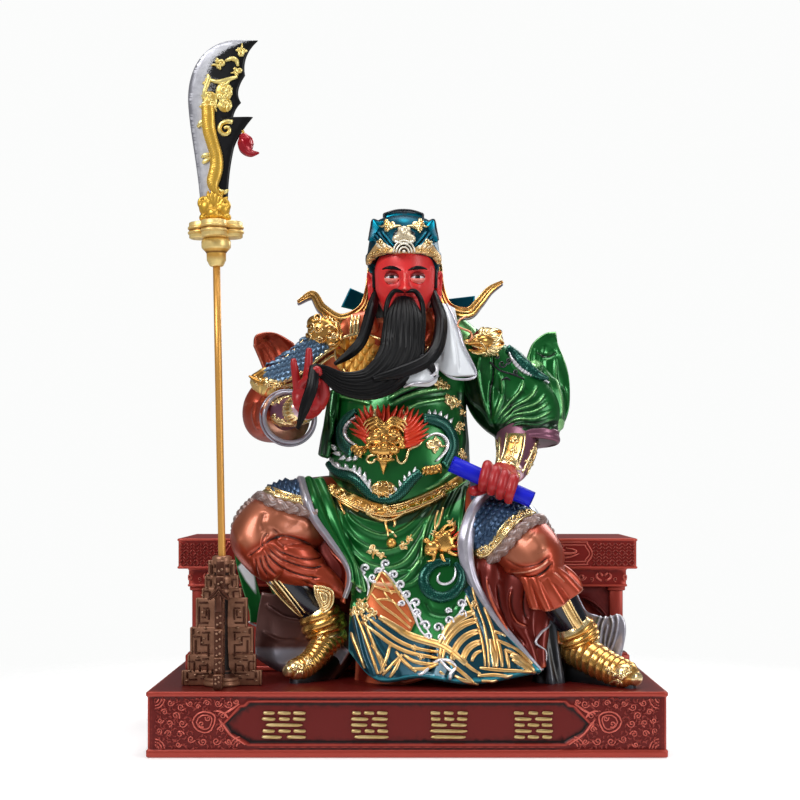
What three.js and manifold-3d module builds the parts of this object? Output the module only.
// A painted altar statue: an armoured general seated on a low bench with one fist on a scroll, and a long
// crescent polearm upright in its stand, all on one carved plinth.
// Millimetres, +Z up. The origin is the middle of the plinth's underside and the figure looks along -Y.

import * as THREE from 'three';
import { mergeVertices } from 'three/addons/utils/BufferGeometryUtils.js';
import Module from 'manifold-3d';

const wasm = await Module();
wasm.setup();

// Clearances
const restGap = 0.3; // between pieces that rest on or in one another

// Plinth
const plinthWidth = 360;
const plinthDepth = 220;
const plinthHeight = 45.5;
const plinthTopBand = 3.4;
const plinthBottomBand = 5.5;
const plinthFieldInset = 2.2; // how far the relief field lies behind the bands
const plinthPanelInset = 1.6; // the writing panel lies further back by this
const plinthPanelWidth = 217;
const plinthPanelHeight = 27.5;
const plinthCuspReach = 14.5; // pointed end of the panel beyond its straight sides
const plinthEdge = 1.2; // chamfer along the outer edges

// Rows of strokes in the four writing places
const strokePlaces = 4;
const strokePlacePitch = 57.6;
const strokePlaceWidth = 30;
const strokePlaceHeight = 20;
const strokeRows = 3;
const strokeThickness = 2;
const strokeRelief = 1.2;

// Bench
const benchWidth = 348;
const benchDepth = 102;
const benchBack = 97; // y of the bench's back face
const benchHeight = 101.5; // above the plinth's top
const slabHeight = 23;
const tierHeight = 13.8;
const tierInset = 7.2;
const legInset = 10.2;
const legWidth = 10;
const footHeight = 13.5;
const footInset = 5.5;
const benchPanelInset = 8; // the closed panel between the legs, behind the legs' faces
const benchEdge = 1;

// Polearm and its stand
const poleInset = 48.3; // from the plinth's end to where the pole enters the stand's top
const poleBehind = 35; // from the plinth's front to the pole
const poleLean = 1.08; // degrees, away from the figure
const poleX = poleInset - plinthWidth / 2;
const poleY = poleBehind - plinthDepth / 2;
const shaftDiameter = 5.2;
const shaftShown = 205.6; // from the stand's top to the guard's lowest ring
const socketDepth = 30;
const guardWidth = 39.8;
const guardHeight = 11.4;
const guardRingsHeight = 20;
const beastHeight = 25.6;
const bladeLength = 113;
const bladeThickness = 3.6;
const bladeTang = 10; // length of blade hidden in the beast's mouth
const tasselDiameter = 10.4;
const tasselGap = 0.4;
const holderHeight = 92;
const holderFoot = 28.2; // half width of the lowest step
const holderWing = 5; // thickness of the four wings
const holderCore = 13.8; // diameter of the middle column

// Figure
const figureHeight = 354.5; // from the plinth's top to the top of the hat
const figureScale = figureHeight / 354.5; // the figure's own points below are drawn for that height
const scrollDiameter = 10;
const carvingDetail = 0.55; // share of the drawn count of rings and sides that the carved solids keep
const figureTriangles = 4700; // what the figure's skin is thinned to after its parts are joined
const guardTriangles = 480;
const thinningRounds = 60;
const shortEdgeBend = 0.02; // lets short edges close even where the skin bends

// Colours from the painted original
const paint = (colour, roughness, metalness) => new THREE.MeshStandardMaterial({ color: colour, roughness, metalness });
const lacquerRed = paint(0x6e231e, 0.3, 0.0);
const greenLacquer = paint(0x1e7832, 0.3, 0.5);
const scrollBlue = paint(0x1432c8, 0.5, 0.0);
const goldMatte = paint(0xc8963c, 0.45, 0.6);
const steelBlade = paint(0xc8c8cc, 0.35, 0.6);
const tasselRed = paint(0xa01428, 0.5, 0.0);
const bronzeBrown = paint(0x6e5a50, 0.4, 0.5);

const vec = (p) => new THREE.Vector3(p[0], p[1], p[2]);
const FRONT = [0, -1, 0];
const UP = [0, 0, 1];

// Solids and geometry

/** A closed solid from a triangle geometry of any kind. */
function solid(geometry) {
  const bare = geometry.index ? geometry.clone() : geometry;
  bare.deleteAttribute('normal');
  bare.deleteAttribute('uv');
  const merged = mergeVertices(bare, 1e-4);
  const mesh = new wasm.Mesh({
    numProp: 3,
    vertProperties: new Float32Array(merged.attributes.position.array),
    triVerts: new Uint32Array(merged.index.array),
  });
  return new wasm.Manifold(mesh);
}

/** The geometry of a finished solid. */
function geometryOf(body) {
  const mesh = body.getMesh();
  const geometry = new THREE.BufferGeometry();
  geometry.setAttribute('position', new THREE.BufferAttribute(new Float32Array(mesh.vertProperties), 3));
  geometry.setIndex(new THREE.BufferAttribute(new Uint32Array(mesh.triVerts), 1));
  geometry.computeVertexNormals();
  return geometry;
}

/**
 * The same closed skin with fewer triangles: edges that bend least for their length close up first, in
 * rounds, and an edge stays where closing it would pinch the skin or turn a face over.
 */
function thinned(geometry, target) {
  const points = [];
  const place = geometry.attributes.position;
  for (let i = 0; i < place.count; i += 1) points.push(new THREE.Vector3().fromBufferAttribute(place, i));
  let faces = [];
  for (let i = 0; i < geometry.index.count; i += 3) {
    faces.push([0, 1, 2].map((k) => geometry.index.getX(i + k)));
  }
  const normalOf = ([a, b, c], moved = -1, to = null) => {
    const [p, q, r] = [a, b, c].map((i) => (i === moved ? to : points[i]));
    return new THREE.Vector3().subVectors(q, p).cross(new THREE.Vector3().subVectors(r, p));
  };
  for (let round = 0; round < thinningRounds && faces.length > target; round += 1) {
    const around = points.map(() => []);
    faces.forEach((face, f) => face.forEach((i) => around[i].push(f)));
    const normals = faces.map((face) => normalOf(face).normalize());
    const neighbours = (i) => new Set(around[i].flatMap((f) => faces[f]).filter((j) => j !== i));
    const edges = [];
    faces.forEach((face, f) => face.forEach((a, k) => {
      const b = face[(k + 1) % 3];
      if (a > b) return;
      const length = points[a].distanceTo(points[b]);
      const bend = (i) => 1 - Math.min(...around[i].map((g) => normals[g].dot(normals[f])));
      const [bendA, bendB] = [bend(a), bend(b)];
      edges.push({ keep: bendA > bendB ? a : b, lose: bendA > bendB ? b : a,
        cost: length * (shortEdgeBend + Math.min(bendA, bendB)) });
    }));
    edges.sort((one, other) => one.cost - other.cost);
    const touched = new Set();
    const gone = new Set();
    const allowed = (faces.length - target) / 2;
    let closedUp = 0;
    for (const { keep, lose } of edges) {
      if (closedUp >= Math.min(allowed, edges.length / 8)) break;
      if (touched.has(keep) || touched.has(lose)) continue;
      const near = neighbours(lose);
      const shared = [...neighbours(keep)].filter((i) => near.has(i));
      if (shared.length !== 2 || near.size < 4) continue;
      const turnsOver = around[lose].some((f) => {
        if (faces[f].includes(keep)) return false;
        const after = normalOf(faces[f], lose, points[keep]);
        return after.length() < 0.02 || after.normalize().dot(normals[f]) < 0.35;
      });
      if (turnsOver) continue;
      for (const f of around[lose]) {
        if (faces[f].includes(keep)) gone.add(f);
        else faces[f] = faces[f].map((i) => (i === lose ? keep : i));
      }
      [...near, keep, lose].forEach((i) => touched.add(i));
      closedUp += 1;
    }
    faces = faces.filter((_, f) => !gone.has(f));
    if (closedUp === 0) break;
  }
  const skin = new THREE.BufferGeometry().setFromPoints(points);
  skin.setIndex(faces.flat());
  return mergeVertices(dropLoosePoints(skin), 1e-5);
}

/** The geometry without points that no triangle uses. */
function dropLoosePoints(geometry) {
  const used = new Map();
  const points = [];
  const index = Array.from(geometry.index.array, (i) => {
    if (!used.has(i)) {
      used.set(i, points.length);
      points.push(new THREE.Vector3().fromBufferAttribute(geometry.attributes.position, i));
    }
    return used.get(i);
  });
  const tidy = new THREE.BufferGeometry().setFromPoints(points);
  tidy.setIndex(index);
  return tidy;
}

/** All the solids of a list joined into one. */
function join(solids) {
  return solids.reduce((whole, next) => whole.add(next));
}

/** A closed solid from points and triangles, turned right way out if its volume comes out negative. */
function closed(points, triangles) {
  let volume = 0;
  for (const [a, b, c] of triangles) {
    volume += points[a].dot(new THREE.Vector3().crossVectors(points[b], points[c]));
  }
  const flip = volume < 0;
  const geometry = new THREE.BufferGeometry().setFromPoints(points);
  geometry.setIndex(triangles.flatMap(([a, b, c]) => (flip ? [a, c, b] : [a, b, c])));
  return solid(geometry);
}

/** Rings of equal count joined into a tube with both ends closed on their middles. */
function tubeOfRings(rings) {
  const sides = rings[0].length;
  const points = rings.flat();
  const triangles = [];
  for (let r = 0; r < rings.length - 1; r += 1) {
    for (let s = 0; s < sides; s += 1) {
      const a = r * sides + s;
      const b = r * sides + ((s + 1) % sides);
      triangles.push([a, b, b + sides], [a, b + sides, a + sides]);
    }
  }
  for (const [ring, turned] of [[0, true], [rings.length - 1, false]]) {
    const middle = new THREE.Vector3();
    for (const p of rings[ring]) middle.addScaledVector(p, 1 / sides);
    const centre = points.push(middle) - 1;
    for (let s = 0; s < sides; s += 1) {
      const a = ring * sides + s;
      const b = ring * sides + ((s + 1) % sides);
      triangles.push(turned ? [b, a, centre] : [a, b, centre]);
    }
  }
  return closed(points, triangles);
}

/** One value of a smooth curve through equally spaced numbers. */
function smooth(values, t) {
  const last = values.length - 1;
  const at = Math.min(Math.max(t, 0), 1) * last;
  const i = Math.min(Math.floor(at), last - 1);
  const f = at - i;
  const p1 = values[i];
  const p2 = values[i + 1];
  const p0 = i > 0 ? values[i - 1] : 2 * p1 - p2;
  const p3 = i + 2 <= last ? values[i + 2] : 2 * p2 - p1;
  const slope1 = (p2 - p0) / 2;
  const slope2 = (p3 - p1) / 2;
  return (2 * f ** 3 - 3 * f ** 2 + 1) * p1 + (f ** 3 - 2 * f ** 2 + f) * slope1
    + (-2 * f ** 3 + 3 * f ** 2) * p2 + (f ** 3 - f ** 2) * slope2;
}

/** A station of a limb, [x, y, z, half width, half depth], at share t of the way along. */
function station(stations, t) {
  return stations[0].map((_, k) => smooth(stations.map((s) => s[k]), t));
}

/**
 * A limb through stations [x, y, z, half width, half depth]. The half depth points towards `facing`,
 * and `fold(t, angle)` adds millimetres to the radius, which is how pleats and locks are carved.
 */
function limb(stations, { steps: drawnSteps = 7, sides: drawnSides = 12, facing = FRONT, fold = () => 0 } = {}) {
  const steps = Math.max(Math.round(drawnSteps * carvingDetail), Math.min(drawnSteps, 2));
  const sides = Math.max(Math.round(drawnSides * carvingDetail), 5);
  const rings = [];
  for (let i = 0; i <= steps; i += 1) {
    const t = i / steps;
    const [x, y, z, wide, deep] = station(stations, t);
    const before = vec(station(stations, Math.max(t - 0.02, 0)));
    const after = vec(station(stations, Math.min(t + 0.02, 1)));
    const along = after.sub(before).normalize();
    const out = vec(facing).addScaledVector(along, -vec(facing).dot(along)).normalize();
    const side = new THREE.Vector3().crossVectors(out, along);
    const ring = [];
    for (let s = 0; s < sides; s += 1) {
      const angle = (2 * Math.PI * s) / sides;
      const extra = fold(t, angle);
      ring.push(new THREE.Vector3(x, y, z)
        .addScaledVector(side, (wide + extra) * Math.cos(angle))
        .addScaledVector(out, (deep + extra) * Math.sin(angle)));
    }
    rings.push(ring);
  }
  return tubeOfRings(rings);
}

/** A cloth with some body through a net of points, rows of equal count, `thick` millimetres through. */
function cloth(net, { thick = 3, across: drawnAcross = 8, down: drawnDown = 6, fold = () => 0 } = {}) {
  const across = Math.max(Math.round(drawnAcross * carvingDetail), 1);
  const down = Math.max(Math.round(drawnDown * carvingDetail), 2);
  const place = (u, v) => {
    const row = net.map((line) => [0, 1, 2].map((k) => smooth(line.map((p) => p[k]), u)));
    return new THREE.Vector3(...[0, 1, 2].map((k) => smooth(row.map((p) => p[k]), v)));
  };
  const front = [];
  const back = [];
  for (let j = 0; j <= down; j += 1) {
    for (let i = 0; i <= across; i += 1) {
      const u = i / across;
      const v = j / down;
      const du = place(u + 0.01, v).sub(place(u - 0.01, v));
      const dv = place(u, v + 0.01).sub(place(u, v - 0.01));
      const normal = du.cross(dv).normalize();
      const middle = place(u, v);
      front.push(middle.clone().addScaledVector(normal, thick / 2 + fold(u, v)));
      back.push(middle.clone().addScaledVector(normal, -thick / 2 + fold(u, v)));
    }
  }
  const wide = across + 1;
  const points = [...front, ...back];
  const triangles = [];
  const quad = (a, b, c, d) => triangles.push([a, b, c], [a, c, d]);
  const shift = front.length;
  for (let j = 0; j < down; j += 1) {
    for (let i = 0; i < across; i += 1) {
      const a = j * wide + i;
      quad(a, a + 1, a + 1 + wide, a + wide);
      quad(shift + a, shift + a + wide, shift + a + 1 + wide, shift + a + 1);
    }
  }
  for (let i = 0; i < across; i += 1) {
    const low = down * wide + i;
    quad(i + 1, i, shift + i, shift + i + 1);
    quad(low, low + 1, shift + low + 1, shift + low);
  }
  for (let j = 0; j < down; j += 1) {
    const a = j * wide;
    const b = a + across;
    quad(a, a + wide, shift + a + wide, shift + a);
    quad(b + wide, b, shift + b, shift + b + wide);
  }
  return closed(points, triangles);
}

/** A ball stretched to three half sizes. */
function ball(centre, halves, sides = 8) {
  const around = Math.max(Math.round(sides * carvingDetail * 1.1), 6);
  const geometry = new THREE.SphereGeometry(1, around, Math.max(4, Math.round(around * 0.6)));
  geometry.scale(...halves);
  geometry.translate(...centre);
  return solid(geometry);
}

/** A box given by its lowest and highest corners. */
function boxBetween(low, high) {
  const size = high.map((h, k) => h - low[k]);
  const geometry = new THREE.BoxGeometry(...size);
  geometry.translate(...low.map((l, k) => l + size[k] / 2));
  return solid(geometry);
}

/** A box whose long edges are cut back: an outline in X and Z drawn out along Y, or in X and Y along Z. */
function slab(low, high, chamfer) {
  const outline = new THREE.Shape();
  const [w, h] = [high[0] - low[0], high[2] - low[2]];
  outline.moveTo(chamfer, 0);
  outline.lineTo(w - chamfer, 0);
  outline.lineTo(w, chamfer);
  outline.lineTo(w, h - chamfer);
  outline.lineTo(w - chamfer, h);
  outline.lineTo(chamfer, h);
  outline.lineTo(0, h - chamfer);
  outline.lineTo(0, chamfer);
  outline.closePath();
  const geometry = new THREE.ExtrudeGeometry(outline, {
    depth: high[1] - low[1] - 2 * chamfer,
    bevelEnabled: true,
    bevelThickness: chamfer,
    bevelSize: chamfer,
    bevelOffset: -chamfer,
    bevelSegments: 1,
  });
  geometry.rotateX(Math.PI / 2);
  geometry.translate(low[0], high[1] - chamfer, low[2]);
  return solid(geometry);
}

/** An outline in X and Z drawn out along Y, from y = front back to y = front + depth. */
function plateAlongY(outline, front, depth) {
  const geometry = new THREE.ExtrudeGeometry(outline, { depth, bevelEnabled: false, curveSegments: 3 });
  geometry.rotateX(Math.PI / 2);
  geometry.translate(0, front + depth, 0);
  return solid(geometry);
}

/** A spiral cloud curl lying on a face that looks along -Y, as carved low relief. */
function cloudCurl(x, z, size, front, relief, mirrored = 1) {
  const stations = [];
  for (let i = 0; i <= 8; i += 1) {
    const turn = (i / 8) * 1.6 * Math.PI;
    const reach = size * (1 - 0.085 * i);
    stations.push([x + mirrored * reach * Math.cos(turn), front, z + reach * Math.sin(turn),
      size * 0.2, relief]);
  }
  return limb(stations, { steps: 9, sides: 4 });
}

// Plinth

/** The writing panel's outline: a long rectangle with an ogee point at each end. */
function panelOutline(width, height, reach, z) {
  const shape = new THREE.Shape();
  const [w, h] = [width / 2, height / 2];
  shape.moveTo(-w, z - h);
  shape.lineTo(w, z - h);
  shape.quadraticCurveTo(w + reach * 0.2, z - h * 0.45, w + reach * 0.55, z - h * 0.35);
  shape.lineTo(w + reach, z);
  shape.lineTo(w + reach * 0.55, z + h * 0.35);
  shape.quadraticCurveTo(w + reach * 0.2, z + h * 0.45, w, z + h);
  shape.lineTo(-w, z + h);
  shape.quadraticCurveTo(-w - reach * 0.2, z + h * 0.45, -w - reach * 0.55, z + h * 0.35);
  shape.lineTo(-w - reach, z);
  shape.lineTo(-w - reach * 0.55, z - h * 0.35);
  shape.quadraticCurveTo(-w - reach * 0.2, z - h * 0.45, -w, z - h);
  return shape;
}

function makePlinth() {
  const [halfWidth, halfDepth] = [plinthWidth / 2, plinthDepth / 2];
  const fieldHigh = plinthHeight - plinthTopBand;
  const fieldLow = plinthBottomBand;
  const fieldMiddle = (fieldHigh + fieldLow) / 2;
  const top = slab([-halfWidth, -halfDepth, fieldHigh], [halfWidth, halfDepth, plinthHeight], plinthEdge);
  const bottom = slab([-halfWidth, -halfDepth, 0], [halfWidth, halfDepth, fieldLow], plinthEdge);
  const fieldFront = -halfDepth + plinthFieldInset;
  const core = boxBetween(
    [-halfWidth + plinthFieldInset, fieldFront, fieldLow - plinthEdge],
    [halfWidth - plinthFieldInset, halfDepth - plinthFieldInset, fieldHigh + plinthEdge],
  );
  const panelFront = fieldFront + plinthPanelInset;
  const outer = panelOutline(plinthPanelWidth + 4, plinthPanelHeight + 4, plinthCuspReach, fieldMiddle);
  const panel = panelOutline(plinthPanelWidth, plinthPanelHeight, plinthCuspReach, fieldMiddle);
  const border = plateAlongY(outer, fieldFront - 0.8, plinthPanelInset + 1);
  const hollow = plateAlongY(panel, fieldFront - 2, plinthPanelInset + 2);
  const clouds = [];
  const cornerWidth = (plinthWidth - plinthPanelWidth) / 2;
  for (const sign of [-1, 1]) {
    const corner = halfWidth - plinthFieldInset - cornerWidth / 2;
    for (let row = 0; row < 3; row += 2) {
      for (let column = 0; column < 2; column += 1) {
        const x = sign * (corner + (column - 0.3) * cornerWidth * 0.38);
        const z = fieldMiddle + (row - 1) * plinthPanelHeight * 0.36;
        clouds.push(cloudCurl(x, z, 5.2, fieldFront, 0.9, column ? sign : -sign));
      }
    }
  }
  const strokes = [];
  for (let place = 0; place < strokePlaces; place += 1) {
    const middle = (place - (strokePlaces - 1) / 2) * strokePlacePitch;
    for (let row = 0; row < strokeRows; row += 1) {
      const z = fieldMiddle + (row / (strokeRows - 1) - 0.5) * (strokePlaceHeight - strokeThickness);
      const parts = 2 + ((row + place) % 2);
      const pitch = strokePlaceWidth / parts;
      for (let part = 0; part < parts; part += 1) {
        const x = middle - strokePlaceWidth / 2 + part * pitch;
        strokes.push(boxBetween(
          [x + 0.8, panelFront - strokeRelief, z - strokeThickness / 2],
          [x + pitch - 0.8, panelFront + 0.5, z + strokeThickness / 2],
        ));
      }
    }
  }
  const body = join([top, bottom, core, border]).subtract(hollow);
  return join([body, ...clouds, ...strokes]);
}

// Bench, standing on the plinth's top

function makeBench() {
  const halfWidth = benchWidth / 2;
  const front = benchBack - benchDepth;
  const slabLow = benchHeight - slabHeight;
  const tierLow = slabLow - tierHeight;
  const seat = slab([-halfWidth, front, slabLow], [halfWidth, benchBack, benchHeight], benchEdge);
  const tier = slab(
    [-halfWidth + tierInset, front + tierInset * 0.6, tierLow],
    [halfWidth - tierInset, benchBack - tierInset * 0.6, slabLow + benchEdge],
    benchEdge,
  );
  const pieces = [seat, tier];
  const legFront = front + legInset * 0.7;
  const legBack = benchBack - legInset * 0.7;
  for (const sign of [-1, 1]) {
    const outer = halfWidth - legInset;
    for (const [near, far] of [[legFront, legFront + legWidth], [legBack - legWidth, legBack]]) {
      const xs = [sign * outer, sign * (outer - legWidth)].sort((a, b) => a - b);
      pieces.push(boxBetween([xs[0], near, footHeight - 1], [xs[1], far, tierLow + benchEdge]));
      const spread = legInset - footInset;
      pieces.push(slab(
        [xs[0] - spread, near - spread * 0.7, 0],
        [xs[1] + spread, far + spread * 0.7, footHeight],
        benchEdge,
      ));
    }
  }
  const panelFront = legFront + benchPanelInset;
  pieces.push(boxBetween(
    [-halfWidth + legInset + 4, panelFront, 0],
    [halfWidth - legInset - 4, legBack - 4, tierLow + benchEdge],
  ));
  pieces.push(slab(
    [-halfWidth + legInset, legFront + 3, 0],
    [halfWidth - legInset, legBack - 3, 4],
    benchEdge,
  ));
  for (const sign of [-1, 1]) {
    const inner = halfWidth - legInset - legWidth;
    const brace = new THREE.Shape();
    brace.moveTo(sign * (inner + 1), tierLow + 1);
    brace.lineTo(sign * (inner - 58), tierLow + 1);
    brace.lineTo(sign * (inner - 58), tierLow - 3);
    brace.bezierCurveTo(sign * (inner - 40), tierLow - 3, sign * (inner - 34), tierLow - 12,
      sign * (inner - 22), tierLow - 8);
    brace.bezierCurveTo(sign * (inner - 12), tierLow - 6, sign * (inner - 8), tierLow - 24,
      sign * (inner + 1), tierLow - 26);
    pieces.push(plateAlongY(brace, legFront + 3, benchPanelInset));
  }
  for (const sign of [-1, 1]) {
    const middle = sign * (halfWidth - 44);
    const cartouche = panelOutline(34, slabHeight * 0.55, 9, slabLow + slabHeight * 0.47);
    const plate = plateAlongY(cartouche, -0.5, 1.5);
    pieces.push(plate.translate([middle, front, 0]));
    pieces.push(cloudCurl(middle - 8, slabLow + slabHeight * 0.45, 3.4, front - 0.4, 0.9, 1));
    pieces.push(cloudCurl(middle + 8, slabLow + slabHeight * 0.45, 3.4, front - 0.4, 0.9, -1));
    for (let k = 0; k < 4; k += 1) {
      const x = sign * (halfWidth - tierInset - 12 - k * 15);
      const rosette = new THREE.CylinderGeometry(2.6, 3.4, 1.8, 8);
      rosette.translate(x, front + tierInset * 0.6, tierLow + tierHeight / 2);
      pieces.push(solid(rosette));
    }
  }
  return join(pieces);
}

/** The room that the bench takes out of the figure, with the resting clearance all round. */
function benchRoom() {
  const g = restGap;
  const halfWidth = benchWidth / 2;
  const front = benchBack - benchDepth;
  return boxBetween([-halfWidth - g, front - g - 0.9, -1], [halfWidth + g, benchBack + 60, benchHeight + g]);
}

// Polearm: built upright on its own axis from the stand's top, then leaned as one group

/** A turned body about the pole's axis through [radius, height] pairs. */
function turned(profile, sides = 12) {
  const points = profile.map(([r, h]) => new THREE.Vector2(r, h));
  const geometry = new THREE.LatheGeometry(points, sides);
  geometry.rotateX(Math.PI / 2);
  return solid(geometry);
}

function makeShaft() {
  const geometry = new THREE.CylinderGeometry(
    shaftDiameter / 2, shaftDiameter / 2, shaftShown + socketDepth - restGap + guardSocket, 16,
  );
  geometry.rotateX(Math.PI / 2);
  geometry.translate(0, 0, (shaftShown + guardSocket - socketDepth + restGap) / 2);
  return solid(geometry);
}

const guardSocket = 12; // how far the shaft runs up inside the guard's rings
const guardBottom = shaftShown;
const guardLow = guardBottom + guardRingsHeight;
const guardTop = guardLow + guardHeight;
const beastTop = guardTop + beastHeight;
const bladeBottom = beastTop - bladeTang;

/** The guard's plan: four round lobes about a square, `size` wide over the lobes. */
function lobedPlan(size) {
  const lobe = size * 0.24;
  const reach = size / 2 - lobe;
  const shape = new THREE.Shape();
  for (let k = 0; k < 4; k += 1) {
    const turn = (k * Math.PI) / 2;
    const [cx, cy] = [reach * Math.cos(turn), reach * Math.sin(turn)];
    if (k === 0) shape.moveTo(cx + lobe * Math.cos(turn - 1.9), cy + lobe * Math.sin(turn - 1.9));
    shape.absarc(cx, cy, lobe, turn - 1.9, turn + 1.9, false);
  }
  shape.closePath();
  return shape;
}

function makeGuard() {
  const bore = shaftDiameter / 2 + restGap;
  const rings = turned([
    [0, guardBottom], [4.5, guardBottom], [5.6, guardBottom + 2], [6.8, guardBottom + 5],
    [6.8, guardBottom + 9.5], [8.4, guardBottom + 11], [10.3, guardBottom + 13.5],
    [10.3, guardBottom + 18], [9, guardLow + 1], [0, guardLow + 1],
  ]);
  const plate = new THREE.ExtrudeGeometry(lobedPlan(guardWidth - 1.6), {
    depth: guardHeight - 1.6,
    bevelEnabled: true,
    bevelThickness: 0.8,
    bevelSize: 0.8,
    bevelSegments: 1,
    curveSegments: 4,
  });
  plate.translate(0, 0, guardLow + 0.8);
  const band = new THREE.ExtrudeGeometry(lobedPlan(guardWidth + 1.4), {
    depth: guardHeight * 0.36, bevelEnabled: false, curveSegments: 4,
  });
  band.translate(0, 0, guardLow + guardHeight * 0.32);
  const beast = [
    ball([0, 0, guardTop + 6], [9, 7.5, 8.5], 10),
    ball([-6.5, -1, guardTop + 11], [6, 6, 7.5], 8),
    ball([5.5, -1, guardTop + 9], [6, 6, 6.5], 8),
    ball([0, -6, guardTop + 6], [5, 4, 4.5], 8),
    limb([[-8, 0, guardTop + 8, 4, 4.5], [-12, 0, guardTop + 14, 3.2, 4], [-8.5, 0, guardTop + 20, 2.6, 3.4],
      [-3, 0, guardTop + 19, 1.6, 2.4]], { steps: 6, sides: 7 }),
    limb([[6, 0, guardTop + 8, 3.6, 4.5], [10.5, 0, guardTop + 13, 3, 4], [9, 0, guardTop + 18, 2, 3],
      [6, 0, guardTop + 17, 1.2, 2]], { steps: 6, sides: 7 }),
    limb([[-1, 0, guardTop + 10, 5.5, 4], [-1, 0, guardTop + 18, 5, 3.6],
      [0, 0, guardTop + beastHeight, 3, 2.6]], { steps: 4, sides: 8 }),
  ];
  const guard = join([rings, solid(plate), solid(band), ...beast]);
  const shaftRoom = turned([
    [0, guardBottom - 1], [bore, guardBottom - 1],
    [bore, guardBottom + guardSocket + restGap], [0, guardBottom + guardSocket + restGap],
  ]);
  const bladeRoom = boxBetween(
    [-14.5, -bladeThickness / 2 - restGap, bladeBottom - restGap],
    [12.5, bladeThickness / 2 + restGap, beastTop + 1],
  );
  const carved = solid(thinned(geometryOf(guard), guardTriangles));
  return carved.subtract(shaftRoom).subtract(bladeRoom);
}

/** The blade's outline: a long belly of an edge, and a back with a point, a hook and a spur. */
function bladeOutline(inset) {
  const shape = new THREE.Shape();
  const tip = bladeBottom + bladeLength;
  const z = (share) => bladeBottom + bladeLength * share;
  const i = inset;
  shape.moveTo(-10.8 + i, z(0) + i);
  shape.bezierCurveTo(-12 + i, z(0.22), -17.6 + i, z(0.45), -18 + i, z(0.63));
  shape.bezierCurveTo(-17.8 + i, z(0.86), -4 + i * 0.4, z(1.0) - i, 17 - i * 2, tip + 0.8 - i * 1.4);
  shape.lineTo(32.6 - i * 3, tip - i * 1.5);
  shape.quadraticCurveTo(20.5 - i, z(0.91), 22.9 - i * 1.2, z(0.782));
  shape.quadraticCurveTo(14.5 - i * 0.4, z(0.68), 19.7 - i, z(0.612));
  shape.quadraticCurveTo(13.5 - i * 0.4, z(0.56), 13.7 - i * 0.4, z(0.495));
  shape.quadraticCurveTo(20 - i * 0.4, z(0.522) - i * 0.4, 28 - i * 1.6, z(0.52) - i * 0.5);
  shape.quadraticCurveTo(18 - i * 0.5, z(0.42), 14.1 - i, z(0.33));
  shape.quadraticCurveTo(9.6 - i, z(0.17), 9 - i, z(0) + i);
  shape.closePath();
  return shape;
}

function makeBlade() {
  const bevel = 1.2;
  const geometry = new THREE.ExtrudeGeometry(bladeOutline(bevel), {
    depth: bladeThickness - 2 * bevel,
    bevelEnabled: true,
    bevelThickness: bevel,
    bevelSize: bevel,
    bevelSegments: 1,
    curveSegments: 5,
  });
  geometry.rotateX(Math.PI / 2);
  geometry.translate(0, bladeThickness / 2 - bevel, 0);
  const face = bladeThickness / 2;
  const up = (share) => bladeBottom + bladeLength * share;
  const dragon = limb([
    [3, -face, up(0.12), 1.6, 1.2], [-2, -face, up(0.195), 2.6, 1.4], [5, -face, up(0.3), 2.8, 1.4],
    [-4, -face, up(0.425), 3, 1.5], [3, -face, up(0.53), 3.4, 1.6], [9, -face, up(0.637), 4, 1.8],
    [-1, -face, up(0.708), 3, 1.5], [6, -face, up(0.779), 2.6, 1.3],
  ], { steps: 20, sides: 6 });
  const head = ball([9, -face, up(0.646)], [6, 2.2, 5], 8);
  const clouds = [[3, 0.867], [12, 0.876], [19, 0.823], [21, 0.912]].map(([x, share]) => (
    ball([x, -face, up(share)], [3, 1.1, 2.2], 6)
  ));
  return join([solid(geometry), dragon, head, ...clouds]);
}

function makeTassel() {
  const [x, z] = [22.5, bladeBottom + bladeLength * 0.38];
  const r = tasselDiameter / 2;
  const y = -(bladeThickness / 2 + tasselGap + r); // it hangs just clear of the blade's front face
  return limb([
    [x - r * 0.8, y + r * 0.6, z + r * 1.7, 0.8, 0.8], [x - 1, y + r * 0.4, z + r * 1.1, 1.6, 1.6],
    [x, y, z - r * 0.2, r, r], [x + 1, y, z - r * 1.2, r * 0.7, r * 0.7],
    [x + 5.5, y + r * 0.3, z - r * 1.3, 0.6, 0.6],
  ], { steps: 10, sides: 14 });
}

/** The stand's steps: [bottom, top, half width] as shares of its height and foot. */
const holderSteps = [
  [0, 0.113, 1], [0.113, 0.236, 0.851], [0.236, 0.447, 0.784], [0.447, 0.672, 0.642],
  [0.672, 0.748, 0.489], [0.748, 0.845, 0.415], [0.845, 0.964, 0.326],
];

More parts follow.
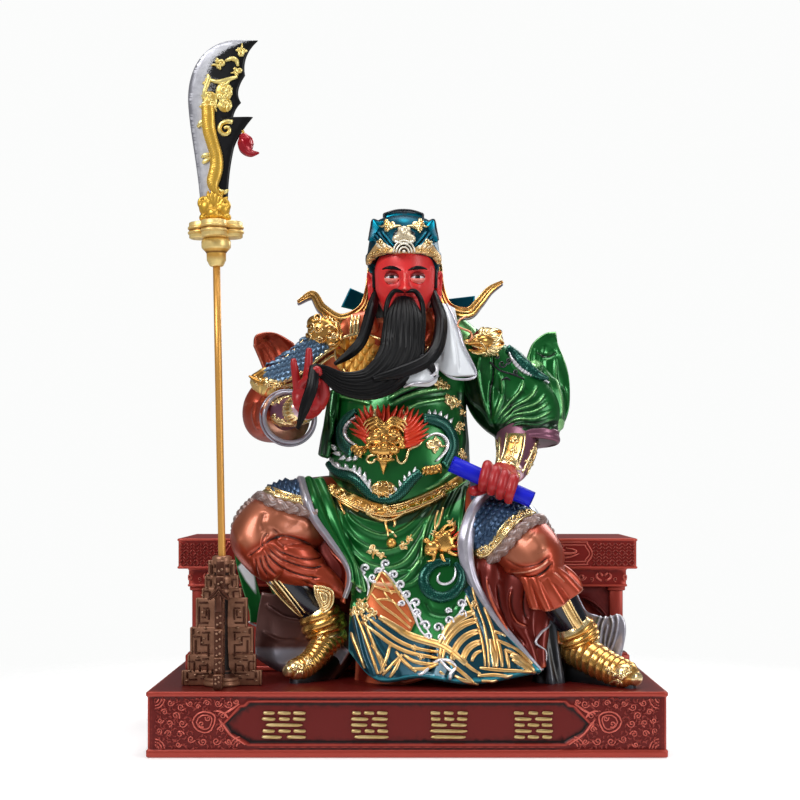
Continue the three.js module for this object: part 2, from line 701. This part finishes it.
function makeHolder() {
  const half = holderWing / 2;
  const pieces = [];
  for (const [low, high, share] of holderSteps) {
    const w = holderFoot * share;
    const [z0, z1] = [holderHeight * low, holderHeight * high];
    pieces.push(boxBetween([-w, -half, z0], [w, half, z1 + 0.01]));
    pieces.push(boxBetween([-half, -w, z0], [half, w, z1 + 0.01]));
    if (share < 0.8 && share > 0.45) {
      for (const sign of [-1, 1]) {
        const x = sign * (w - 2.4);
        pieces.push(boxBetween([x - 1.6, -half - 1, z0 + 1.5], [x + 1.6, half + 1, z1 - 1.5]));
        pieces.push(boxBetween([-half - 1, x - 1.6, z0 + 1.5], [half + 1, x + 1.6, z1 - 1.5]));
      }
    }
  }
  const r = holderCore / 2;
  const column = turned([
    [0, 0], [r + 6, 0], [r + 6, 4], [r + 2.5, 8], [r - 1, 12], [r - 2, holderHeight * 0.5],
    [r, holderHeight * 0.7], [r, holderHeight], [0, holderHeight],
  ], 10);
  const roof = new THREE.Shape();
  roof.moveTo(-7.4, 0);
  roof.lineTo(7.4, 0);
  roof.quadraticCurveTo(2.5, 3, 0, 9.5);
  roof.quadraticCurveTo(-2.5, 3, -7.4, 0);
  const arch = plateAlongY(roof, -holderFoot * 0.64 - 1, holderFoot * 0.3).translate([0, 0, holderHeight * 0.63]);
  const socket = turned([
    [0, holderHeight - socketDepth], [shaftDiameter / 2 + restGap, holderHeight - socketDepth],
    [shaftDiameter / 2 + restGap, holderHeight + 2], [0, holderHeight + 2],
  ]);
  const leant = socket.translate([0, 0, -holderHeight]).rotate([0, -poleLean, 0]).translate([0, 0, holderHeight]);
  return join([...pieces, column, arch]).subtract(leant);
}

// Figure: heights are above the plinth's top

const torso = [
  [-6, 24, 88, 62, 50], [-6, 15, 118, 58, 45], [-6, 4, 145, 54, 46], [-6, 3, 170, 53, 44],
  [-5, 8, 200, 50, 37], [-4, 12, 230, 50, 33], [-3, 14, 252, 44, 25], [-2, 13, 266, 26, 17],
  [-2, 8, 280, 15, 14], [-2, 6, 300, 15, 14],
];

/** The torso's front face at a place across and up, where reliefs and the belt lie. */
function chestFront(x, z) {
  let low = 0;
  let high = 1;
  for (let i = 0; i < 20; i += 1) {
    const middle = (low + high) / 2;
    if (station(torso, middle)[2] < z) low = middle;
    else high = middle;
  }
  const [cx, cy, , wide, deep] = station(torso, low);
  const across = Math.min(Math.abs((x - cx) / wide), 0.97);
  return cy - deep * Math.sqrt(1 - across ** 2);
}

/** A raised cord of relief that follows the torso's front through [x, z, half width] points. */
function chestRelief(points, relief, steps = 12, sides = 6) {
  return limb(points.map(([x, z, wide]) => [x, chestFront(x, z) - relief * 0.2, z, wide, relief]), { steps, sides });
}

function makeTorso() {
  const robe = limb(torso, {
    steps: 22,
    sides: 28,
    fold: (t, angle) => 0.6 * Math.sin(angle * 6 + t * 20) * (1 - t),
  });
  const seat = ball([-6, 34, 106], [80, 46, 26], 18);
  const back = limb([[-6, 40, 96, 62, 18], [-6, 40, 130, 52, 16], [-6, 34, 170, 46, 12]],
    { steps: 5, sides: 14, fold: (t, angle) => 1.6 * Math.sin(angle * 8) });
  const breast = ball([-28, chestFront(-28, 243) + 9, 240], [22, 13, 20], 12);
  const throat = ball([-2, -12, 268], [26, 26, 24], 14);
  return [robe, seat, back, breast, throat];
}

/** The belt dips at the front; beltLine gives its height at an angle round the body. */
function makeBelt() {
  const points = [];
  const count = 28;
  for (let i = 0; i <= count; i += 1) {
    const turn = (i / count) * 2 * Math.PI;
    const [x, y] = [-6 + 59.5 * Math.sin(turn), 5 - 50.5 * Math.cos(turn)];
    const z = 139 - 13 * Math.cos(turn);
    points.push([x, y, z, 1]);
  }
  const rings = points.slice(0, count).map(([x, y, z]) => {
    const out = new THREE.Vector3(x + 6, y - 5, 0).normalize();
    const corner = (r, h) => new THREE.Vector3(x, y, z + h).addScaledVector(out, r);
    return [corner(-9, -5.5), corner(1, -5), corner(2.6, -2), corner(2.6, 2), corner(1, 5), corner(-9, 5.5)];
  });
  const sides = rings[0].length;
  const all = rings.flat();
  const triangles = [];
  for (let r = 0; r < count; r += 1) {
    const next = (r + 1) % count;
    for (let s = 0; s < sides; s += 1) {
      const t = (s + 1) % sides;
      triangles.push([r * sides + s, r * sides + t, next * sides + t]);
      triangles.push([r * sides + s, next * sides + t, next * sides + s]);
    }
  }
  return closed(all, triangles);
}

function makeBellyDragon() {
  const face = [[-17, 181, 13, 4, 6.5], [-17, 177, 9, 5, 8], [-17, 167, 7, 5.5, 5], [-17, 159, 3.5, 3.5, 5]].map(([x, z, w, d, h]) => (
    ball([x, chestFront(x, z) - 0.5, z], [w, d, h], 8)
  ));
  const hair = [];
  for (let k = 0; k < 9; k += 1) {
    const turn = Math.PI * (0.08 + 0.84 * (k / 8));
    const [cos, sin] = [Math.cos(turn), Math.sin(turn)];
    hair.push(chestRelief([
      [-17 + 8 * cos, 178 + 4 * sin, 2.8], [-17 + 18 * cos, 180 + 10 * sin, 2.2], [-17 + 28 * cos, 181 + 19 * sin, 0.7],
    ], 2.2, 4, 5));
  }
  const left = chestRelief([[-38, 195, 3], [-50, 190, 3.6], [-55, 178, 4], [-50, 166, 4], [-40, 160, 3]], 3.4, 12);
  const low = chestRelief([[-53, 152, 3], [-42, 147, 4], [-30, 137, 4], [-15, 131, 4], [-2, 136, 4], [8, 146, 4], [22, 150, 3.4]], 3.2, 16);
  const right = chestRelief([[14, 194, 3], [26, 189, 3.6], [33, 178, 4], [31, 165, 4], [20, 157, 3.4]], 3.4, 12);
  const claw = ball([12, chestFront(12, 161), 161], [5.5, 2.6, 4.5], 8);
  return [...face, ...hair, left, low, right, claw];
}

function makeShoulders() {
  return [
    ball([-62, chestFront(-44, 258) + 8, 260], [13, 11, 12], 10),
    ball([40, 9, 258], [20, 18, 14], 12),
    limb([[26, -7, 280, 5, 4], [35, -11, 259, 10, 5], [44, -13, 238, 16, 6], [46, -14, 227, 13, 4]],
      { steps: 7, sides: 8 }),
    limb([[20, -17, 240, 5, 5], [22, -21, 230, 9, 5], [26, -22, 222, 8, 4]], { steps: 4, sides: 7 }),
    ball([59, -9, 254], [13, 4, 9], 8),
    ball([70, -6, 240], [7, 4, 7], 8),
  ];
}

function makeRightArm() {
  const scales = limb([[-58, 2, 256, 15, 13], [-72, 2, 245, 17, 15], [-88, 3, 232, 18, 16], [-102, 4, 220, 19, 17]],
    { steps: 8, sides: 12, fold: (t, angle) => 0.8 * Math.cos(angle * 6 + (Math.round(t * 8) % 2) * Math.PI) });
  const hem = limb([[-98, 3, 224, 18, 17], [-104, 2, 217, 22, 19], [-106, 2, 213, 20, 17]],
    { steps: 4, sides: 16, fold: (t, angle) => 1.3 * Math.cos(angle * 8) });
  const elbow = limb([[-100, 6, 216, 15, 15], [-109, 9, 203, 16, 16], [-108, 5, 193, 17, 17], [-98, -6, 193, 19, 18],
    [-91, -16, 196, 19.5, 18.5]],
  { steps: 8, sides: 14, facing: UP, fold: (t, angle) => 1.1 * Math.sin(angle * 5 + t * 6) });
  const mouth = limb([[-92, -14, 196, 14.5, 13.5], [-88, -21, 197, 17, 16]], { steps: 1, sides: 14, facing: UP });
  const bracer = limb([[-100, -4, 193, 12, 12], [-88, -24, 196, 12, 11.5], [-79, -38, 197, 9.5, 9], [-76, -43, 198, 10, 9]],
    { steps: 6, sides: 12, facing: UP });
  const wing = cloth([
    [[-87, 20, 226], [-86, 26, 240], [-91, 26, 250]],
    [[-98, 22, 228], [-101, 30, 246], [-106, 28, 258]],
    [[-106, 18, 226], [-114, 24, 244], [-119, 22, 256]],
    [[-110, 12, 220], [-115, 15, 234], [-121, 17, 247]],
  ], { thick: 3, across: 5, down: 6 });
  return [scales, hem, elbow.subtract(mouth), bracer, wing];
}

function makeRightHand() {
  const finger = (points) => limb(points, { steps: 5, sides: 7 });
  return [
    limb([[-76, -42, 197, 8.5, 7], [-72, -50, 208, 11.5, 6.5], [-71, -54, 219, 11, 6]], { steps: 5, sides: 10 }),
    finger([[-80, -54, 216, 3.2, 3.4], [-82.5, -57, 225, 2.8, 3], [-83.5, -58, 233, 2.2, 2.4]]),
    finger([[-74, -56, 220, 3.4, 3.6], [-72, -60, 232, 3, 3.2], [-70.5, -60, 242, 2.4, 2.6]]),
    finger([[-70, -57, 219, 3.4, 3.6], [-66, -64, 225, 3.2, 3.2], [-63, -68, 221, 2.8, 2.8]]),
    finger([[-73, -55, 214, 3.4, 3.6], [-67, -63, 216, 3.2, 3.2], [-62, -68, 213, 2.8, 2.8]]),
    finger([[-63, -50, 212, 3.8, 3.8], [-60, -58, 218, 3.2, 3.4], [-60, -63, 223, 2.6, 2.6]]),
  ];
}

function makeLeftArm() {
  const sleeve = limb([[36, 12, 250, 18, 18], [56, 13, 238, 20, 20], [78, 13, 219, 23, 22], [91, 8, 200, 26, 22],
    [91, 0, 184, 25, 20], [88, -6, 174, 25, 18]],
  { steps: 14, sides: 16, facing: [-0.3, -1, 0.2], fold: (t, angle) => 2 * Math.sin(angle * 4 + t * 16) * Math.min(1, t * 2) });
  const cuff = limb([[90, -3, 177, 25, 19], [88, -7, 172, 27, 20.5], [88, -8, 169, 25, 18.5]],
    { steps: 3, sides: 16, facing: [-0.3, -1, 0.2] });
  const raised = cloth([
    [[96, 16, 236], [98, 24, 248], [108, 28, 257], [115, 26, 259]],
    [[98, 14, 222], [104, 22, 236], [112, 26, 244], [117, 24, 248]],
    [[100, 10, 206], [108, 16, 220], [118, 20, 228], [123, 20, 233]],
    [[100, 6, 192], [110, 8, 202], [120, 14, 210], [125, 15, 212]],
    [[98, 2, 178], [108, 2, 186], [116, 8, 192], [121, 11, 194]],
    [[96, 0, 172], [104, -2, 174], [110, 2, 177], [115, 5, 179]],
  ], { thick: 4, across: 6, down: 12, fold: (u, v) => 1.6 * Math.sin(v * 15) * u });
  const fill = limb([[88, 12, 226, 18, 16], [100, 10, 206, 20, 16], [104, 4, 186, 16, 14]], { steps: 5, sides: 12 });
  const bracer = limb([[94, 2, 182, 15, 14], [84, -14, 169, 14, 13], [75, -30, 157, 11, 10.5], [71, -38, 152, 10.5, 10]],
    { steps: 7, sides: 14, facing: UP });
  return [sleeve, cuff, raised, fill, bracer];
}

function makeLeftHand() {
  const along = [0.905, 0, -0.425];
  const middle = [66, -62, 142.5];
  const fingers = [];
  for (let k = 0; k < 4; k += 1) {
    const shift = (k - 1.5) * 7;
    const [x, z] = [middle[0] + along[0] * shift, middle[2] + along[2] * shift];
    fingers.push(limb([
      [x + 2, middle[1] + 9, z + 9, 3.9, 4], [x + 1, middle[1] - 4, z + 8.5, 3.9, 4],
      [x - 2, middle[1] - 8.5, z - 1, 3.7, 3.6], [x - 3, middle[1] - 3, z - 7, 3.2, 3.4],
    ], { steps: 7, sides: 8, facing: [-0.4, -0.2, 0.9] }));
  }
  const palm = limb([[72, -36, 152, 10, 9], [68, -48, 148, 13, 9], [66, -56, 146, 14, 8]],
    { steps: 4, sides: 12, facing: UP });
  const thumb = limb([[58, -50, 143, 5, 5], [52, -56, 139, 4.4, 4.4], [47, -62, 138, 3.6, 3.6]], { steps: 5, sides: 8 });
  return [...fingers, palm, thumb, ball([66, -54, 141], [14, 9, 8], 10)];
}

/** The head under the hat: an egg with plain, evenly spaced features, ears and neck. */
function makeHead() {
  const chin = 272;
  const brow = 303;
  const faceHalf = 20.5;
  const skull = limb([[-2, 0, chin - 2, 9, 12], [-2, -1, chin + 5, 16, 19], [-2, 0, chin + 16, 19.5, 22.5],
    [-2, 1, brow, faceHalf, 24], [-2, 2, brow + 14, 20, 23]], { steps: 10, sides: 18 });
  const features = [
    limb([[-2, -23, brow - 2, 2.2, 2], [-2, -25.5, brow - 9, 2.8, 3], [-2, -26, brow - 14, 4, 3.6],
      [-2, -22.5, brow - 16, 3.2, 2]], { steps: 5, sides: 8 }),
  ];
  for (const sign of [-1, 1]) {
    features.push(ball([-2 + sign * 9.5, -20, brow - 5], [4.6, 3, 2.4], 8));
    features.push(limb([[-2 + sign * 3, -22.5, brow + 1, 1.4, 1.6], [-2 + sign * 9, -22.5, brow + 3, 1.8, 1.8],
      [-2 + sign * 15, -18, brow + 3, 1, 1.2]], { steps: 4, sides: 6 }));
    features.push(limb([[-2 + sign * 23, 5, brow - 1, 2.4, 4], [-2 + sign * 25, 5, brow - 8, 3.2, 6],
      [-2 + sign * 24, 2, brow - 19, 3, 4]], { steps: 6, sides: 8 }));
  }
  features.push(limb([[-7.5, -22, brow - 21, 0.8, 1], [-2, -23.6, brow - 21, 2.2, 1.8], [3.5, -22, brow - 21, 0.8, 1]],
    { steps: 5, sides: 6 }));
  return [skull, ...features];
}

function makeHat() {
  const cap = limb([[-3, 3, 306, 26, 26], [-3, 3, 313, 28.5, 28], [-3, 4, 324, 27, 26], [-3, 6, 334, 24.5, 22],
    [-3, 8, 343, 22.5, 18]], { steps: 12, sides: 22 });
  const faceRoom = boxBetween([-21, -40, 300], [17, -14, 313]);
  const crest = slab([-16.5, 0, 330], [11.5, 20, 353], 2);
  const corners = [-1, 1].map((sign) => limb([
    [-3 + sign * 22, 6, 328, 4, 12], [-3 + sign * 22, 6, 338, 3, 11], [-3 + sign * 22.4, 6, 346, 1.2, 8],
  ], { steps: 4, sides: 8 }));
  const crown = limb([[-28, 2, 312, 3, 2], [-22, -18, 318, 4.5, 2.4], [-2, -27, 318.5, 5, 2.6], [18, -18, 318, 4.5, 2.4],
    [24, 2, 312, 3, 2]], { steps: 12, sides: 7, facing: FRONT });
  const lion = [ball([-2, -25, 324], [7.5, 6, 7], 10), ball([-2, -22, 333], [5.5, 5, 6], 8)];
  const clouds = [-1, 1].map((sign) => ball([-2 + sign * 11, -17, 337], [5.5, 4, 3.2], 8));
  return [cap.subtract(faceRoom), crest, ...corners, crown, ...lion, ...clouds];
}

/** Long locks: grooves run along each lock as a ripple round its section. */
function makeBeard() {
  const grooved = (depth, count) => (t, angle) => depth * Math.sin(angle * count) * Math.min(1, 6 * t + 0.2);
  const main = limb([[-2.5, -20, 278, 7, 6], [-2.5, -31, 262, 13, 7], [-3.5, -41, 245, 15, 8], [-11, -49, 228, 14, 8],
    [-28, -54, 216.5, 10, 8], [-46, -58, 217, 7, 6.5], [-60, -62, 224, 4.4, 4.4], [-67, -63, 226, 3.4, 3.6]],
  { steps: 20, sides: 20, fold: grooved(0.9, 7) });
  const end = limb([[-67, -64, 227, 3.4, 3.4], [-68, -69, 213, 4.2, 3.4], [-73, -68, 199, 3.8, 3], [-78.5, -64, 183, 1, 1]],
    { steps: 8, sides: 8, fold: grooved(0.4, 4) });
  const lockLeft = limb([[-25.5, -5, 292, 3, 3], [-27, -16, 273, 4, 4], [-33, -30, 251, 4, 4], [-41, -37, 240, 3.6, 3.6],
    [-53, -40, 231, 1.2, 1.6]], { steps: 10, sides: 8, fold: grooved(0.4, 4) });
  const lockRight = limb([[21.5, -5, 292, 3, 3], [25, -18, 266, 4.6, 4], [22.5, -34, 246, 5, 4.4], [13.5, -46, 233, 5, 4.4],
    [-5.5, -54, 224, 4.4, 4], [-24, -58, 219, 2, 2]], { steps: 12, sides: 8, fold: grooved(0.4, 4) });
  const wisp = limb([[10, -46, 236, 3, 3], [17, -45, 229, 3, 2.6], [20, -42, 222, 1, 1.2]], { steps: 5, sides: 7 });
  const moustache = [-1, 1].map((sign) => limb([
    [-2 + sign * 1, -25, 286, 1.2, 1.4], [-2 + sign * 8, -26, 286, 2, 2], [-2 + sign * 13, -25, 276, 2.2, 2.2],
    [-2 + sign * 14, -32, 262, 2, 2], [-2 + sign * 13, -41, 246, 1.2, 1.4],
  ], { steps: 9, sides: 7 }));
  return [main, end, lockLeft, lockRight, wisp, ...moustache];
}

function makeStreamers() {
  const left = limb([[-30, 4, 314, 3, 1.6], [-30.5, 2, 290, 3, 1.6], [-34, -2, 276, 3, 1.8], [-50, -6, 266.5, 3.4, 2],
    [-64, -6, 275.5, 3.4, 2], [-71.5, -6, 286, 3, 1.8], [-82.5, -7, 280.5, 1.2, 1.2]], { steps: 18, sides: 6 });
  const right = limb([[26, 4, 314, 3, 1.6], [27, 2, 290, 3, 1.6], [33, -2, 277.5, 3, 1.8], [45.5, -6, 273.5, 3.4, 2],
    [54, -6, 281, 3.2, 2], [62, -6, 290.5, 2.6, 1.8], [71.5, -7, 295.5, 1.2, 1.2]], { steps: 18, sides: 6 });
  const bow = cloth([
    [[-54, 18, 268], [-53, 26, 288]], [[-40, 20, 268], [-37, 28, 289]], [[-10, 22, 266], [-6, 28, 284]],
    [[30, 20, 264], [31, 28, 285]], [[44, 16, 262], [52, 26, 284]],
  ], { thick: 5, across: 2, down: 8 });
  return [left, right, bow];
}

/** A frill round the end of a thigh guard: a ring with small scallops. */
function frill(centre, normal, radius, thick, from, to) {
  const axis = vec(normal).normalize();
  const side = new THREE.Vector3().crossVectors(vec(UP), axis).normalize();
  const up = new THREE.Vector3().crossVectors(axis, side);
  const stations = [];
  const count = 18;
  for (let i = 0; i <= count; i += 1) {
    const turn = from + ((to - from) * i) / count;
    const p = vec(centre).addScaledVector(side, radius * Math.cos(turn)).addScaledVector(up, radius * Math.sin(turn));
    const bump = i % 2 ? 0.7 : -0.5;
    stations.push([p.x, p.y, p.z, thick + bump, thick * 0.8 + bump]);
  }
  return limb(stations, { steps: 30, sides: 6, facing: axis.toArray() });
}

function makeLegs() {
  const pleat = (count, depth) => (t, angle) => depth * Math.sin(angle * count) * t;
  const right = [
    limb([[-30, 26, 124, 30, 28], [-62, -4, 122, 29, 27], [-88, -28, 118, 30, 27], [-97, -37, 115, 31, 28]],
      { steps: 7, sides: 16, facing: UP }),
    frill([-99, -38, 114], [-0.66, -0.75, -0.1], 29, 3.4, 0, 2 * Math.PI),
    limb([[-80, -22, 118, 25, 24], [-98, -42, 112, 25, 24], [-107, -50, 104, 22, 21], [-103, -54, 92, 20, 17],
      [-95, -52, 84, 18, 15]], { steps: 10, sides: 14, facing: UP, fold: (t, a) => 0.7 * Math.sin(a * 4 + t * 9) }),
    limb([[-97, -50, 93, 17, 14], [-90, -50, 82, 21, 17], [-81, -47, 70, 24, 19]],
      { steps: 5, sides: 22, fold: pleat(8, 2.4) }),
    limb([[-92, -47, 80, 13, 13], [-73, -41, 58, 13, 13], [-57, -34, 42, 11.5, 11.5]], { steps: 4, sides: 12 }),
    limb([[-61, -36, 47, 13.5, 13.5], [-57, -34, 41, 14.5, 14], [-54, -33, 36, 13, 12.5]], { steps: 3, sides: 12 }),
    limb([[-48, -26, 38, 9, 10], [-57, -38, 28, 11, 11.5], [-68, -50, 15, 10, 10.5], [-78, -61, 8.5, 9.5, 9],
      [-85, -68, 6, 4, 5]], { steps: 8, sides: 12 }),
    ball([-78, -62, 10], [10.5, 9, 9.5], 10),
    limb([[-38, -16, 30, 7, 6], [-52, -32, 12, 9, 6], [-66, -48, 2, 9, 5], [-82, -64, 1, 8, 3.4]],
      { steps: 6, sides: 8 }),
    ball([-52, -50, 70], [9, 7, 8], 8),
    ball([-79, -49, 103], [9, 7.5, 9], 8),
  ];
  const left = [
    limb([[14, 26, 124, 30, 28], [44, -6, 120, 29, 27], [66, -30, 110, 30, 27], [75, -40, 104, 31, 28]],
      { steps: 7, sides: 16, facing: UP }),
    frill([77, -42, 103], [0.66, -0.68, -0.34], 29.5, 3.4, 0, 2 * Math.PI),
    limb([[60, -22, 112, 25, 24], [80, -44, 101, 25, 24], [92, -57, 91, 22, 21], [98, -62, 78, 19, 16],
      [104, -61, 68, 17, 14]], { steps: 10, sides: 14, facing: UP, fold: (t, a) => 0.7 * Math.sin(a * 4 + t * 9) }),
    limb([[99, -61, 82, 17, 14], [105, -61, 69, 21, 17], [112, -59, 56, 24, 18]],
      { steps: 5, sides: 22, fold: pleat(8, 2.4) }),
    limb([[101, -59, 74, 13, 13], [113, -56, 53, 13, 13], [124, -53, 34, 11.5, 11.5]], { steps: 4, sides: 12 }),
    limb([[120, -54, 40, 13.5, 13], [124, -52, 33, 14.5, 14], [127, -51, 27, 13, 12.5]], { steps: 3, sides: 12 }),
    limb([[121, -46, 22, 11, 13], [132, -59, 18, 12, 13], [145, -74, 11.5, 11, 10.5], [156, -87, 8, 9.5, 8.5],
      [162, -93, 6.5, 4, 5]], { steps: 8, sides: 12 }),
    ball([154, -86, 9.5], [10.5, 9, 9], 10),
    limb([[112, -42, 4, 9, 5], [130, -60, 1.5, 10.5, 5], [158, -91, 1, 8.5, 3.6]], { steps: 5, sides: 8 }),
  ];
  return [...right, ...left];
}

/** Robe between and around the legs, down to the plinth, with the cloths that hang at either side. */
function makeRobe() {
  const mass = limb([[-8, 0, 128, 52, 38], [-8, -10, 104, 48, 38], [-2, -22, 74, 44, 32], [4, -32, 42, 46, 32],
    [14, -40, 14, 60, 40], [18, -42, -2, 66, 42]], { steps: 10, sides: 18, fold: (t, a) => 1.2 * Math.sin(a * 7) * t });
  const panel = cloth([
    [[-62, -14, 141], [-46, -34, 127], [-11, -41, 117], [24, -36, 127], [46, -16, 141]],
    [[-54, -36, 116], [-34, -46, 106], [-11, -51, 97], [24, -49, 102], [47, -42, 116]],
    [[-42, -48, 81], [-26, -56, 73], [-1, -60, 66], [28, -59, 70], [45, -54, 85]],
    [[-41, -54, 52], [-24, -64, 42], [5, -70, 36], [36, -69, 44], [58, -62, 55]],
    [[-42, -64, 24], [-22, -82, 6], [10, -87, 8], [44, -95, 4], [94, -82, 9]],
  ], {
    thick: 7,
    across: 20,
    down: 16,
    fold: (u, v) => {
      const swag = Math.sin((v * 4 + (u - 0.45) ** 2 * 7) * 2 * Math.PI) * (v < 0.6 ? 2.4 : 0.8);
      const gathered = v > 0.6 ? 2.6 * Math.sin(u * 19) * (v - 0.6) * 2.5 : 0;
      return swag + gathered;
    },
  });
  const bandLeft = limb([[-80, -14, 147, 3, 2], [-75, -28, 133, 3.6, 2.6], [-65.5, -40, 111, 3.6, 2.6],
    [-53, -50, 95, 3.4, 2.4], [-41, -56, 82, 3, 2.2], [-40, -56, 73, 3, 2.2], [-46, -50, 56, 2.4, 2]],
  { steps: 14, sides: 6 });
  const sashLeft = cloth([
    [[-80, -12, 146], [-72, -22, 142], [-58, -20, 146]], [[-74, -28, 132], [-66, -34, 122], [-52, -34, 120]],
    [[-65, -39, 111], [-56, -44, 102], [-42, -46, 98]], [[-52, -49, 95], [-44, -52, 84], [-32, -54, 80]],
    [[-41, -54, 80], [-36, -54, 70], [-28, -56, 64]], [[-45, -50, 55], [-38, -54, 48], [-30, -60, 44]],
  ], { thick: 5, across: 5, down: 10, fold: (u, v) => 1.2 * Math.sin(u * 9) });
  const liningRight = cloth([
    [[-82, -24, 112], [-66, -36, 110]], [[-80, -30, 92], [-54, -44, 94]], [[-72, -34, 76], [-42, -50, 80]],
    [[-66, -34, 66], [-44, -48, 56]],
  ], { thick: 6, across: 4, down: 8, fold: (u, v) => 1.5 * Math.sin(u * 8) });
  const bandRight = limb([[62, -24, 136, 4.4, 3], [50, -38, 124, 5.2, 3.4], [42.5, -50, 104, 5.4, 3.4],
    [43.5, -56, 85, 4.6, 3], [50, -61, 67, 3.8, 2.6], [64, -68, 45, 3.4, 2.4], [84, -76, 21, 3, 2.2], [94, -78, 10, 2.4, 2]],
  { steps: 16, sides: 6 });
  const liningLeft = cloth([
    [[50, -46, 92], [66, -44, 92], [84, -40, 84]], [[52, -54, 72], [74, -52, 66], [96, -46, 62]],
    [[64, -60, 46], [88, -58, 40], [106, -50, 38]], [[88, -70, 16], [104, -66, 10], [114, -58, 12]],
    [[94, -74, -2], [106, -68, -3], [114, -60, -3]],
  ], { thick: 6, across: 8, down: 12, fold: (u, v) => 2.2 * Math.sin(u * 11 + v * 3) });
  const flapLeft = cloth([
    [[-122, -22, 106], [-106, -22, 106]], [[-124, -24, 92], [-104, -22, 90]], [[-116, -22, 64], [-100, -20, 66]],
    [[-104, -18, 34], [-96, -16, 40]],
  ], { thick: 4, across: 4, down: 8 });
  const greyLeft = cloth([
    [[-106, -16, 60], [-82, -18, 62], [-56, -24, 50]], [[-104, -18, 34], [-80, -24, 34], [-54, -28, 26]],
    [[-112, -26, 8], [-84, -34, 4], [-50, -36, 2]], [[-106, -28, -3], [-82, -36, -4], [-46, -38, -4]],
  ], { thick: 6, across: 8, down: 6, fold: (u) => 1.4 * Math.sin(u * 12) });
  const tailRight = cloth([
    [[100, -14, 92], [122, -16, 74]], [[112, -16, 62], [134, -20, 48]], [[124, -18, 36], [147, -24, 44]],
    [[132, -22, 14], [158, -26, 46]], [[140, -26, 2], [162, -28, 36]], [[146, -34, -3], [158, -32, 14]],
  ], { thick: 4, across: 4, down: 12 });
  const rearRight = limb([[86, -14, 96, 24, 18], [104, -18, 60, 18, 14], [118, -22, 24, 18, 14], [124, -24, -3, 20, 16]],
    { steps: 6, sides: 12, fold: (t, a) => 1.5 * Math.sin(a * 6) });
  const rearLeft = limb([[-86, -10, 104, 24, 18], [-84, -14, 70, 24, 16], [-72, -20, 34, 26, 14], [-62, -24, -3, 30, 16]],
    { steps: 6, sides: 12, fold: (t, a) => 1.5 * Math.sin(a * 6) });
  return [mass, panel, bandLeft, sashLeft, liningRight, bandRight, liningLeft, flapLeft, greyLeft, tailRight,
    rearRight, rearLeft];
}

function makeSideFlap() {
  return [
    limb([[-58, -4, 214, 5, 3], [-62, -8, 186, 6, 3.4], [-66, -12, 162, 5, 3]], { steps: 5, sides: 8 }),
  ];
}

/** The scroll lies along the fist, its ends square. */
function makeScroll(diameter) {
  const from = new THREE.Vector3(32.5, -62, 158);
  const to = new THREE.Vector3(89, -62, 131.5);
  const length = from.distanceTo(to);
  const geometry = new THREE.CylinderGeometry(diameter / 2, diameter / 2, length, 20);
  const turn = new THREE.Quaternion().setFromUnitVectors(new THREE.Vector3(0, 1, 0), to.clone().sub(from).normalize());
  geometry.applyQuaternion(turn);
  const middle = from.clone().lerp(to, 0.5);
  geometry.translate(middle.x, middle.y, middle.z);
  return solid(geometry);
}

function makeFigure() {
  const whole = join([
    ...makeTorso(), makeBelt(), ...makeBellyDragon(), ...makeShoulders(), ...makeRightArm(), ...makeRightHand(),
    ...makeLeftArm(), ...makeLeftHand(), ...makeHead(), ...makeHat(), ...makeBeard(), ...makeStreamers(),
    ...makeLegs(), ...makeRobe(), ...makeSideFlap(),
  ]);
  const carved = solid(thinned(geometryOf(whole), figureTriangles));
  const around = makeScroll(scrollDiameter / figureScale + 2 * restGap);
  const sized = carved.subtract(around).scale([figureScale, figureScale, figureScale]);
  const belowPlinth = boxBetween([-400, -400, -200], [400, 400, restGap]);
  return sized.subtract(benchRoom()).subtract(belowPlinth);
}

// Scene

const statue = new THREE.Group();

function place(name, body, material, parent) {
  const mesh = new THREE.Mesh(geometryOf(body), material);
  mesh.name = name;
  parent.add(mesh);
}


place('plinth', makePlinth(), lacquerRed, statue);

const onPlinth = new THREE.Group();
onPlinth.position.z = plinthHeight;
statue.add(onPlinth);
place('bench', makeBench().translate([0, 0, restGap]), lacquerRed, onPlinth);
place('figure', makeFigure(), greenLacquer, onPlinth);
place('scroll', makeScroll(scrollDiameter / figureScale).scale([figureScale, figureScale, figureScale]), scrollBlue, onPlinth);

const stand = new THREE.Group();
stand.position.set(poleX, poleY, restGap);
onPlinth.add(stand);
place('polearm_holder', makeHolder(), bronzeBrown, stand);

const pole = new THREE.Group();
pole.position.z = holderHeight;
pole.rotation.y = THREE.MathUtils.degToRad(-poleLean);
stand.add(pole);
place('polearm_shaft', makeShaft(), goldMatte, pole);
place('polearm_collar', makeGuard(), goldMatte, pole);
place('polearm_blade', makeBlade(), steelBlade, pole);
place('polearm_tassel', makeTassel(), tasselRed, pole);

export default statue;
